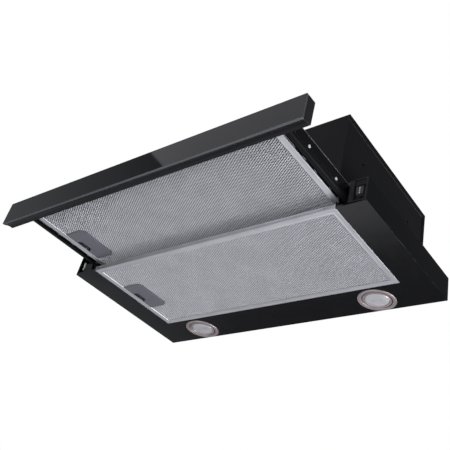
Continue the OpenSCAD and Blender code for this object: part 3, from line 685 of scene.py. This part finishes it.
def folded_frame(pad):
    """A filter's frame: a channel of thin sheet, folded round the pad with mitred corners."""
    low, high = corners(pad)
    centre = (low + high) / 2
    bottom = low.z - FRAME_DROP
    left, right = low.x - FRAME_SKIN, high.x + FRAME_SKIN
    front, rear = low.y - FRAME_SKIN, high.y + FRAME_SKIN
    shape = bmesh.new()
    loops = []
    for x, y, sx, sy in ((left, front, -1, -1), (right, front, 1, -1),
                         (right, rear, 1, 1), (left, rear, -1, 1)):
        verts = [shape.verts.new((x + sx * out, y + sy * out, bottom + up)) for out, up in frame_section()]
        loops.append([shape.edges.new(ends) for ends in zip(verts, verts[1:])])
    for first, second in zip(loops, loops[1:] + loops[:1]):
        bmesh.ops.bridge_loops(shape, edges=first + second)
    bmesh.ops.recalc_face_normals(shape, faces=shape.faces)
    if sum(face.calc_center_median().x * face.normal.x for face in shape.faces) < 0:
        bmesh.ops.reverse_faces(shape, faces=shape.faces)

    latch_half, vent_in, vent_half = 8.6 * MM, 20.5 * MM, 1.2 * MM
    cut_window(shape, X, left, Y, (centre.y - latch_half, centre.y + latch_half),
               (bottom + 2 * MM, bottom + 8.1 * MM))
    cut_window(shape, Y, front, X, (right - vent_in - vent_half, right - vent_in + vent_half),
               (bottom + 5.4 * MM, bottom + 7.4 * MM))
    for start, end in ((4 * MM, 10 * MM), (13 * MM, 15 * MM)):
        cut_window(shape, Y, front, X, (left + start, left + end), (bottom + 3.4 * MM, bottom + 6 * MM))
    return shape


def cut_window(shape, axis, place, across, span, rise):
    """Cuts a rectangular window in the wall that stands at a place on an axis."""
    near = 0.05 * MM

    def wall():
        return [face for face in shape.faces
                if abs(face.calc_center_median()[axis] - place) < near and abs(face.normal[axis]) > SQUARE_ON]
    for direction, values in ((across, span), (Z, rise)):
        for value in values:
            faces = wall()
            geom = faces + list({edge for face in faces for edge in face.edges})
            geom += list({vert for face in faces for vert in face.verts})
            normal, point = Vector((0, 0, 0)), Vector((0, 0, 0))
            normal[direction], point[direction] = 1, value
            bmesh.ops.bisect_plane(shape, geom=geom, dist=WELD, plane_co=point, plane_no=normal)
    window = [face for face in wall()
              if span[0] < face.calc_center_median()[across] < span[1]
              and rise[0] < face.calc_center_median().z < rise[1]]
    bmesh.ops.delete(shape, geom=window, context="FACES_ONLY")
    loose = [edge for edge in shape.edges if not edge.link_faces]
    bmesh.ops.delete(shape, geom=loose, context="EDGES")


def mesh_layers(pad, handle):
    """A filter's inner layers: three blocks that leave the handle's pocket free."""
    margin, gap, depth, clearance = 3 * MM, 0.4 * MM, 6.2 * MM, 0.3 * MM
    low, high = corners(pad)
    near, far = corners(handle)
    left, right, front, rear = low.x + margin, high.x - margin, low.y + margin, high.y - margin
    start, top = low.z + sizes().strand_w + clearance, low.z + depth
    layers = bmesh.new()
    block(layers, (left, front, start), (right, near.y - gap, top))
    block(layers, (left, far.y + gap, start), (right, rear, top))
    block(layers, (far.x + gap, near.y - gap, start), (right, far.y + gap, top))
    return layers


def hinge_tongues(pad, sheet):
    """The two tongues on the right that a filter hangs on."""
    shift, half_w, length, rise, thick = 60 * MM, 6 * MM, 2.6 * MM, 5.6 * MM, 1.2 * MM
    low, high = corners(pad)
    right = corners(sheet)[1].x
    middle, bottom = (low.y + high.y) / 2, low.z - FRAME_DROP + rise
    tongues = bmesh.new()
    for y in (middle - shift, middle + shift):
        block(tongues, (right - length, y - half_w, bottom), (right, y + half_w, bottom + thick))
    return tongues


def handle_notch_shade(handle):
    """The short tick moulded beside a handle's finger pocket, made of black plastic as a painted shade line
    along the tick.
    """
    start_x, end_x, start_y, end_y = 11.5 * MM, 18.5 * MM, 15 * MM, 15.7 * MM
    proud, sunk = 0.06 * MM, 0.4 * MM
    low, high = corners(handle)
    middle = (low.y + high.y) / 2
    mark = bmesh.new()
    block(mark, (low.x + start_x, middle + start_y, low.z - proud),
          (low.x + end_x, middle + end_y, low.z + sunk))
    return mark


class HOOD_OT_filters(bpy.types.Operator):
    """Makes the two grease filters: frames, mesh, layers, handles and latches"""
    bl_idname = "hood.filters"
    bl_label = "Grease filters"

    def execute(self, context):
        tongue_edge, handle_edge, latch_edge = 0.3 * MM, 0.5 * MM, 0.25 * MM
        for which in ("visor", "main"):
            pad, handle, edge = which + "_filter_mesh", which + "_handle", which + "_filter_frame"
            add_piece(which + "_stretched_mesh", stretched_mesh(pad, handle), pad,
                      "aluminium_mesh", (pad,))
            add_piece(which + "_mesh_layers", mesh_layers(pad, handle), pad,
                      which + "_layers")
            folded = add_piece(edge + "_finished", folded_frame(pad), edge, "aluminium", (edge,))
            smooth(folded, FOLD_ANGLE)
            sheet = folded.modifiers.new("Sheet", "SOLIDIFY")
            sheet.thickness = sizes().frame_t
            sheet.offset = -1
            tongues = add_piece(which + "_tongues", hinge_tongues(pad, edge), edge, "aluminium")
            round_edges(tongues, tongue_edge)
            rounded_copy(handle, "grey_plastic", handle_edge, segments=3)
            # The tick is black on the grey handle: painted shade.
            add_piece(which + "_handle_notch_shade", handle_notch_shade(handle), handle, "black_plastic")
            rounded_copy(which + "_latch", "black_plastic", latch_edge)
        return {"FINISHED"}


# Housing

def stop_pin():
    """The turned pin in front of the left cheek's tab, with the stub that carries it."""
    pin_out, pin_in, stub_in, stub_half = 4 * MM, 1.6 * MM, 0.4 * MM, 0.6 * MM
    stub_low, stub_high = -25 * MM, -23 * MM
    outline = [(0, -16), (1.5, -16), (1.9, -17), (1.9, -21.5), (1.1, -22.5), (1.1, -25.5), (1.5, -26.2),
               (1.5, -30), (0, -30.4)]
    low = corners("stop_bracket")[0]
    place = Vector((low.x - pin_out, low.y + pin_in, 0))
    pin = turned(in_mm(outline), place, 24)
    block(pin, (place.x, place.y - stub_half, stub_low), (low.x + stub_in, place.y + stub_half, stub_high))
    return pin


class HOOD_OT_housing(bpy.types.Operator):
    """Makes the painted sheets of the housing with their folded edges"""
    bl_idname = "hood.housing"
    bl_label = "Housing"

    def execute(self, context):
        edge = sizes().sheet_edge
        for node in ("underside_panel", "side_channel_left", "side_channel_right", "rear_panel",
                     "top_cover", "slide_bracket_left", "slide_bracket_right"):
            rounded_copy(node, "black_paint", edge)
        rounded_copy("upper_shell", "dull_paint", edge)
        rounded_copy("stop_bracket", "tab_paint", edge)
        smooth(add_piece("stop_pin", stop_pin(), "stop_bracket", "screw_zinc"))
        rounded_copy("guide_glides", "knob_plastic", sizes().moulded_edge)
        return {"FINISHED"}


# Visor

class HOOD_OT_front_bar(bpy.types.Operator):
    """Makes the glass, the bar behind it, its caps and the tape"""
    bl_idname = "hood.front_bar"
    bl_label = "Front bar"

    def execute(self, context):
        glass = copied_shape("front_glass")
        bmesh.ops.bevel(glass, geom=glass.edges[:], offset=sizes().glass_edge, offset_type="OFFSET",
                        segments=1, profile=0.5, affect="EDGES", material=-1)
        pane = add_piece("front_glass_finished", glass, "front_glass", "black_glass",
                         ("front_glass",))
        mark_faces(pane, "glass_edge", lambda face: abs(face.normal.y) < SQUARE_ON)
        rounded_copy("bar_profile", "dark_aluminium", sizes().sheet_edge)
        for side in ("left", "right"):
            rounded_copy("end_cap_" + side, "black_plastic", sizes().moulded_edge)
        dress("glass_tape", "black_rubber")
        return {"FINISHED"}


def bare_edges_and_sheen():
    """The bare cut edges along the top of the tray's arms, partly a painted highlight of those edges."""
    sunk, proud, height = 0.35 * MM, 0.1 * MM, 0.9 * MM
    low, high = corners("visor_tray")
    edges = bmesh.new()
    for start, end in ((low.x - proud, low.x + sunk), (high.x - sunk, high.x + proud)):
        block(edges, (start, low.y, high.z - height), (end, high.y, high.z))
    return edges


def strip_clips():
    """The bits of bare steel that show past the strips beside the filter."""
    width, drop, rise = 0.8 * MM, 0.3 * MM, 0.5 * MM
    places = [(2, 36), (54, 62), (83, 90), (122, 127), (145, 150)]
    clips = bmesh.new()
    for side in ("left", "right"):
        low, high = corners("filter_strip_" + side)
        left, right = (low.x - width, low.x) if side == "left" else (high.x, high.x + width)
        for start, end in in_mm(places):
            block(clips, (left, low.y + start, low.z - drop), (right, low.y + end, low.z + rise))
    return clips


class HOOD_OT_visor(bpy.types.Operator):
    """Makes the folded tray and the strips beside its filter"""
    bl_idname = "hood.visor"
    bl_label = "Visor tray"

    def execute(self, context):
        rounded_copy("visor_tray", "black_paint", sizes().sheet_edge)
        # The strips take the near-black slide finish: partly painted shade of the recess beside the filter.
        for node in ("filter_strip_left", "filter_strip_right"):
            rounded_copy(node, "slide_steel_and_shade", sizes().sheet_edge)
        bare_edge, clip_edge = 0.08 * MM, 0.2 * MM
        # The bright strips along the tray's top edges are bare cut edges and partly painted highlight.
        edges = add_piece("tray_cut_edges_and_sheen", bare_edges_and_sheen(), "visor_tray", "cut_edge")
        round_edges(edges, bare_edge)
        clips = add_piece("strip_clips", strip_clips(), "filter_strip_right", "cut_edge")
        round_edges(clips, clip_edge)
        return {"FINISHED"}


class HOOD_OT_slides(bpy.types.Operator):
    """Makes the members, cages and balls of the two slides"""
    bl_idname = "hood.slides"
    bl_label = "Ball slides"

    def execute(self, context):
        moving_edge, fixed_edge = 0.2 * MM, 0.3 * MM
        for side in ("left", "right"):
            rounded_copy("slide_moving_" + side, "slide_steel_and_shade", moving_edge)
            rounded_copy("slide_fixed_" + side, "zinc_steel", fixed_edge)
            dress("ball_cage_" + side, "zinc_steel")
        return {"FINISHED"}


# Lamps

RING_OUTLINE = [
    (20.2, 0.6), (20.0, -0.1), (20.3, -0.6), (20.9, -0.75), (21.3, -0.5), (21.7, -0.05),
    (22.6, -0.15), (23.7, -0.55), (24.2, -0.4), (24.35, 0.1), (24.4, 1.2), (25.6, 1.2),
    (25.7, 0), (26.0, -0.55), (26.6, -0.8), (30.2, -0.95), (30.8, -0.7), (31.3, -0.95),
    (31.9, -1.0), (32.35, -0.6), (32.5, -0.05), (32.4, 0.0),
    (28.75, 0.0), (28.75, 9), (27.8, 9), (27.8, 1.6), (21.6, 1.6), (21.6, 0.6), (20.2, 0.6)]
LENS_OUTLINE = [
    (0, -0.62), (6, -0.6), (12, -0.52), (17, -0.36), (19.2, -0.18), (19.65, 0.1), (19.7, 0.6),
    (21.3, 0.6), (21.3, 1.8), (0, 1.8)]
# Radii of the ring's groove, whose faces are painted dark as shade.
GROOVE_SHADE_START, GROOVE_SHADE_END = 24.3 * MM, 25.7 * MM
RING_LIP = 1 * MM


class HOOD_OT_lamps(bpy.types.Operator):
    """Makes the lamp rings, lenses and heat sinks"""
    bl_idname = "hood.lamps"
    bl_label = "Lamps"

    def execute(self, context):
        for side in ("left", "right"):
            ring_node, lens_node = "lamp_ring_" + side, "lamp_lens_" + side
            low, high = corners(ring_node)
            centre = Vector(((low.x + high.x) / 2, (low.y + high.y) / 2, low.z + RING_LIP))
            ring = add_piece(ring_node + "_finished", turned(in_mm(RING_OUTLINE), centre),
                             ring_node, "lamp_metal", (ring_node,))
            # Painted shade: the faces in the ring's groove get black plastic, as the shade in the groove.
            mark_faces(smooth(ring), "black_plastic",
                       lambda face: GROOVE_SHADE_START < (face.center - centre).xy.length < GROOVE_SHADE_END)
            smooth(add_piece(lens_node + "_finished", turned(in_mm(LENS_OUTLINE), centre),
                             lens_node, "frosted_lens_" + side, (lens_node,)))
            dress("lamp_body_" + side, "aluminium")
        return {"FINISHED"}


# Switches

class HOOD_OT_switches(bpy.types.Operator):
    """Makes the plate round the switches, the ribbed rocker and the marked knob"""
    bl_idname = "hood.switches"
    bl_label = "Switches"

    def execute(self, context):
        rounded_copy("switch_bezel", "black_plastic", sizes().moulded_edge)
        dress("switch_box", "black_plastic")
        rocker_edge, knob_edge, mark_depth = 0.25 * MM, 0.15 * MM, 0.29 * MM
        rounded_copy("light_switch", "black_plastic", rocker_edge)
        knob = rounded_copy("speed_switch", "knob_plastic", knob_edge)
        front = corners("speed_switch")[0].y + mark_depth
        mark_faces(knob, "white_print", lambda face: face.center.y < front)
        return {"FINISHED"}


# Screws

def screw(shape, place, axis, radius, height, shank_r, shank_l):
    """Adds a pan head screw with a cross recess. Its head sits at the place, and the axis points outwards."""
    cells, arm, doming, depth, taper = 7, 2.2, 0.4, 0.6, 0.75
    head = bmesh.new()
    bmesh.ops.create_grid(head, x_segments=cells, y_segments=cells, size=radius)
    cell = radius * 2 / cells

    def in_cross(spot):
        near, far = sorted((abs(spot.x), abs(spot.y)))
        return near < cell / 2 and far < cell * arm
    recess = [face for face in head.faces if in_cross(face.calc_center_median())]
    for vert in head.verts:
        reach = vert.co.xy.length
        if reach > 0:
            vert.co.xy *= max(abs(vert.co.x), abs(vert.co.y)) / reach
        vert.co.z = height * (1 - doming * (vert.co.xy.length / radius) ** 2)
    made = verts_of(bmesh.ops.extrude_face_region(head, geom=recess)["geom"])
    bmesh.ops.translate(head, verts=made, vec=(0, 0, -depth * height))
    bmesh.ops.scale(head, verts=made, vec=(taper, taper, 1))
    bmesh.ops.delete(head, geom=recess, context="FACES")
    rim = [edge for edge in head.edges if edge.is_boundary]
    for width, low in ((radius, 0), (shank_r, 0), (shank_r, -shank_l)):
        verts, rim = extruded(head, rim)
        for vert in verts:
            vert.co.xy = vert.co.xy.normalized() * width
            vert.co.z = low
    bmesh.ops.holes_fill(head, edges=rim)
    bmesh.ops.recalc_face_normals(head, faces=head.faces)
    turn = Vector((0, 0, 1)).rotation_difference(Vector(axis)).to_matrix().to_4x4()
    head.transform(Matrix.Translation(place) @ turn)
    join(shape, head)


def islands(node):
    """The boxes of a construction piece's separate solids."""
    shape = copied_shape(node)
    left = set(shape.verts)
    found = []
    while left:
        stack = [left.pop()]
        group = list(stack)
        while stack:
            for edge in stack.pop().link_edges:
                for vert in edge.verts:
                    if vert in left:
                        left.remove(vert)
                        stack.append(vert)
                        group.append(vert)
        low = Vector([min(vert.co[side] for vert in group) for side in (X, Y, Z)])
        high = Vector([max(vert.co[side] for vert in group) for side in (X, Y, Z)])
        found.append((low, high))
    shape.free()
    return found


class HOOD_OT_screws(bpy.types.Operator):
    """Makes the pan head screws in the cover, the bracket, the arms and the bar"""
    bl_idname = "hood.screws"
    bl_label = "Screws"

    def execute(self, context):
        head_r, head_h, shank_r, least_shank = 2.4 * MM, 1.6 * MM, 1.4 * MM, 0.2 * MM
        for node in ("arm_screws", "bar_screws", "housing_screws"):
            shape = bmesh.new()
            for low, high in islands(node):
                place, span = (low + high) / 2, high - low
                along = min((X, Y, Z), key=lambda side: span[side])
                outwards = -1 if along == X and place.x <= 0 else 1
                axis = Vector((0, 0, 0))
                axis[along] = outwards
                place[along] = (high if outwards > 0 else low)[along] - outwards * head_h
                screw(shape, place, axis, head_r, head_h, shank_r, max(span[along] - head_h, least_shank))
            smooth(add_piece(node + "_finished", shape, node, "screw_zinc", (node,)))
        return {"FINISHED"}


# Fan, duct and electrics

class HOOD_OT_fan(bpy.types.Operator):
    """Gives the fan, its motor and its casing their finishes"""
    bl_idname = "hood.fan"
    bl_label = "Fan"

    def execute(self, context):
        dress("impeller", "grey_plastic")
        dress("motor_stator", "motor_iron")
        for node in ("motor_shaft", "motor_rotor", "motor_can", "motor_bracket"):
            dress(node, "zinc_steel")
        for side in ("left", "right"):
            dress("scroll_casing_" + side, "black_plastic")
        return {"FINISHED"}


def collar_ribs():
    """The ribs that grip a duct, round the collar's outside."""
    top_gap, spacing = 5 * MM, 6 * MM
    outline = [(59.4, -0.9), (60.5, -0.7), (60.7, 0), (60.5, 0.7), (59.4, 0.9), (59.4, -0.9)]
    low, high = corners("outlet_collar")
    ribs = bmesh.new()
    for index in range(sizes().collar_ribs):
        centre = ((low.x + high.x) / 2, (low.y + high.y) / 2, high.z - top_gap - spacing * index)
        join(ribs, turned(in_mm(outline), centre))
    return ribs


class HOOD_OT_duct(bpy.types.Operator):
    """Makes the duct collar and its two flaps"""
    bl_idname = "hood.duct"
    bl_label = "Duct collar"

    def execute(self, context):
        rounded_copy("outlet_collar", "black_plastic", sizes().moulded_edge)
        smooth(add_piece("collar_ribs", collar_ribs(), "outlet_collar", "black_plastic"))
        for node in ("flap_front", "flap_rear"):
            rounded_copy(node, "grey_plastic", sizes().sheet_edge)
        return {"FINISHED"}


def box_lid(node):
    """A box's lid and its four screws, on the side away from the sheet that carries the box."""
    cap, proud, sunk, inset, reach = 0.5 * MM, 0.7 * MM, 1.6 * MM, 5 * MM, 5 * MM
    head_r, head_h, shank_r, shank_l = 2.2 * MM, 1.3 * MM, 1.2 * MM, 4 * MM
    low, high = corners(node)
    hangs = corners("top_cover")[0].z - high.z < reach
    face, out = (low.z, -1) if hangs else (high.z, 1)
    bottom, top = sorted((face - out * sunk, face + out * proud))
    lid, fixings = bmesh.new(), bmesh.new()
    block(lid, (low.x - cap, low.y - cap, bottom), (high.x + cap, high.y + cap, top))
    for x in (low.x + inset, high.x - inset):
        for y in (low.y + inset, high.y - inset):
            screw(fixings, Vector((x, y, face + out * proud)), (0, 0, out), head_r, head_h, shank_r, shank_l)
    return lid, fixings


class HOOD_OT_electrics(bpy.types.Operator):
    """Makes the capacitor, the control box, the lamp driver and the cable gland"""
    bl_idname = "hood.electrics"
    bl_label = "Electrics"

    def execute(self, context):
        dress("capacitor", "aluminium")
        for node in ("control_box", "led_driver", "cable_gland"):
            rounded_copy(node, "black_plastic", sizes().moulded_edge)
        lid_edge = 0.3 * MM
        for node in ("control_box", "led_driver"):
            lid, fixings = box_lid(node)
            round_edges(add_piece(node + "_lid", lid, node, "black_plastic"), lid_edge)
            smooth(add_piece(node + "_screws", fixings, node, "screw_zinc"))
        return {"FINISHED"}


# Studio

def photo_camera():
    """The camera at the photograph's angle, given as degrees round, up and rolled."""
    azimuth, elevation, roll = (math.radians(value) for value in (41.92, -34.55, 12.77))
    place = (0.6807, -0.8687, -0.6046)
    data = bpy.data.cameras.new("camera")
    data.sensor_width, data.lens = 36, 53.82
    data.shift_x, data.shift_y = -0.1049, 0.0099
    data.clip_start, data.clip_end = 0.01, 50
    level = math.cos(elevation)
    back = Vector((math.sin(azimuth) * level, -math.cos(azimuth) * level, math.sin(elevation)))
    right = (-back).cross(Vector((0, 0, 1))).normalized()
    up = right.cross(-back)
    across = right * math.cos(roll) + up * math.sin(roll)
    above = up * math.cos(roll) - right * math.sin(roll)
    camera = place_in_scene("camera", data)
    camera.matrix_world = Matrix.Translation(place) @ Matrix((across, above, back)).transposed().to_4x4()
    bpy.context.scene.camera = camera


def studio_floor():
    """The pale floor, which throws no light and isn't mirrored by the hood."""
    half_side, drop = 6, 1.7
    ground = bmesh.new()
    bmesh.ops.create_grid(ground, x_segments=4, y_segments=4, size=half_side)
    bmesh.ops.translate(ground, verts=ground.verts, vec=(0, 0, -drop))
    floor = place_in_scene("studio_floor", mesh_of("studio_floor", ground))
    floor.data.materials.append(finish("studio_floor"))
    floor.visible_diffuse = floor.visible_glossy = False


def area_light(name, place, target, width, height, power, roll=0):
    lamp = bpy.data.lights.new(name, "AREA")
    lamp.shape = "RECTANGLE"
    lamp.size, lamp.size_y = width, height
    lamp.energy = power
    lamp.color = (0.95, 0.955, 1)
    light = place_in_scene(name, lamp)
    light.location = place
    aim = (Vector(target) - Vector(place)).to_track_quat("-Z", "Y").to_matrix()
    light.rotation_euler = (aim @ Matrix.Rotation(math.radians(roll), 3, "Z")).to_euler()
    light.visible_camera = False


def white_surroundings():
    """A world that the camera sees as white and that lights the hood dimly, more from the left."""
    dim, bright, fade_start, fade_end = 0.06, 0.33, -0.62, -0.82
    world = bpy.data.worlds.new("studio")
    bpy.context.scene.world = world
    world.use_nodes = True
    tree = world.node_tree
    tree.nodes.clear()
    kinds = ("TexCoord", "SeparateXYZ", "MapRange", "Background", "Background", "LightPath", "MixShader",
             "OutputWorld")
    around, sides, fade, lit, seen, path, mix, out = (tree.nodes.new("ShaderNode" + kind) for kind in kinds)
    seen.inputs["Color"].default_value = (1, 1, 1, 1)
    lit.inputs["Color"].default_value = (0.93, 0.95, 1, 1)
    fade.inputs["From Min"].default_value, fade.inputs["From Max"].default_value = fade_start, fade_end
    fade.inputs["To Min"].default_value, fade.inputs["To Max"].default_value = dim, bright
    for start, end in ((around.outputs["Generated"], sides.inputs["Vector"]),
                       (sides.outputs["X"], fade.inputs["Value"]),
                       (fade.outputs["Result"], lit.inputs["Strength"]),
                       (path.outputs["Is Camera Ray"], mix.inputs["Fac"]),
                       (lit.outputs["Background"], mix.inputs[1]),
                       (seen.outputs["Background"], mix.inputs[2]),
                       (mix.outputs["Shader"], out.inputs["Surface"])):
        tree.links.new(start, end)


class HOOD_OT_studio(bpy.types.Operator):
    """Sets up the camera, the pale floor, the lights and the white surroundings"""
    bl_idname = "hood.studio"
    bl_label = "Studio"

    def execute(self, context):
        photo_camera()
        studio_floor()
        area_light("front_softbox", (0.9, -1.9, 0.3), (0.1, -0.3, 0), 1.4, 1.2, power=11)
        area_light("low_softbox", (0.2, -1.6, -0.95), (0, -0.2, 0), 1.8, 1.0, power=15)
        area_light("rear_softbox", (1.25, 1.0, -1.2), (0, -0.25, 0), 1.2, 0.9, power=42)
        area_light("right_softbox", (1.9, -0.3, -0.9), (0, -0.2, 0), 1.2, 1.2, power=14)
        area_light("floor_softbox", (-0.65, 0.62, -1.5), (-0.65, 0.62, 0), 2.2, 1.7, power=8.5)
        area_light("top_softbox", (-1.5, 0.8, 2.0), (0, 0, 0), 1.0, 1.0, power=14)
        area_light("plate_card", (-0.905, -1.4, 1.33), (-0.905, 0, 1.33), 0.7, 1.0, power=1.2, roll=45)
        white_surroundings()
        context.scene.view_settings.view_transform = "Standard"
        return {"FINISHED"}


OPERATORS = (HOOD_OT_studio, HOOD_OT_housing, HOOD_OT_front_bar, HOOD_OT_visor, HOOD_OT_slides,
             HOOD_OT_filters, HOOD_OT_lamps, HOOD_OT_switches, HOOD_OT_screws, HOOD_OT_fan, HOOD_OT_duct,
             HOOD_OT_electrics)


class HOOD_PT_pieces(bpy.types.Panel):
    """Lists the hood's sizes, colours and pieces"""
    bl_label = "Range hood"
    bl_space_type = "VIEW_3D"
    bl_region_type = "UI"
    bl_category = "Range hood"

    def draw(self, context):
        for group in (sizes(), colours()):
            box = self.layout.box()
            for name in group.__annotations__:
                box.prop(group, name)
        for operator in OPERATORS:
            self.layout.operator(operator.bl_idname)


CLASSES = (HoodSizes, HoodColours, *OPERATORS, HOOD_PT_pieces)


def register():
    for item in CLASSES:
        bpy.utils.register_class(item)
    bpy.types.Scene.hood_sizes = PointerProperty(type=HoodSizes)
    bpy.types.Scene.hood_colours = PointerProperty(type=HoodColours)


def unregister():
    del bpy.types.Scene.hood_colours
    del bpy.types.Scene.hood_sizes
    for item in reversed(CLASSES):
        bpy.utils.unregister_class(item)


def main():
    register()
    for operator in OPERATORS:
        group, name = operator.bl_idname.split(".")
        getattr(getattr(bpy.ops, group), name)()


if __name__ == "__main__":
    main()
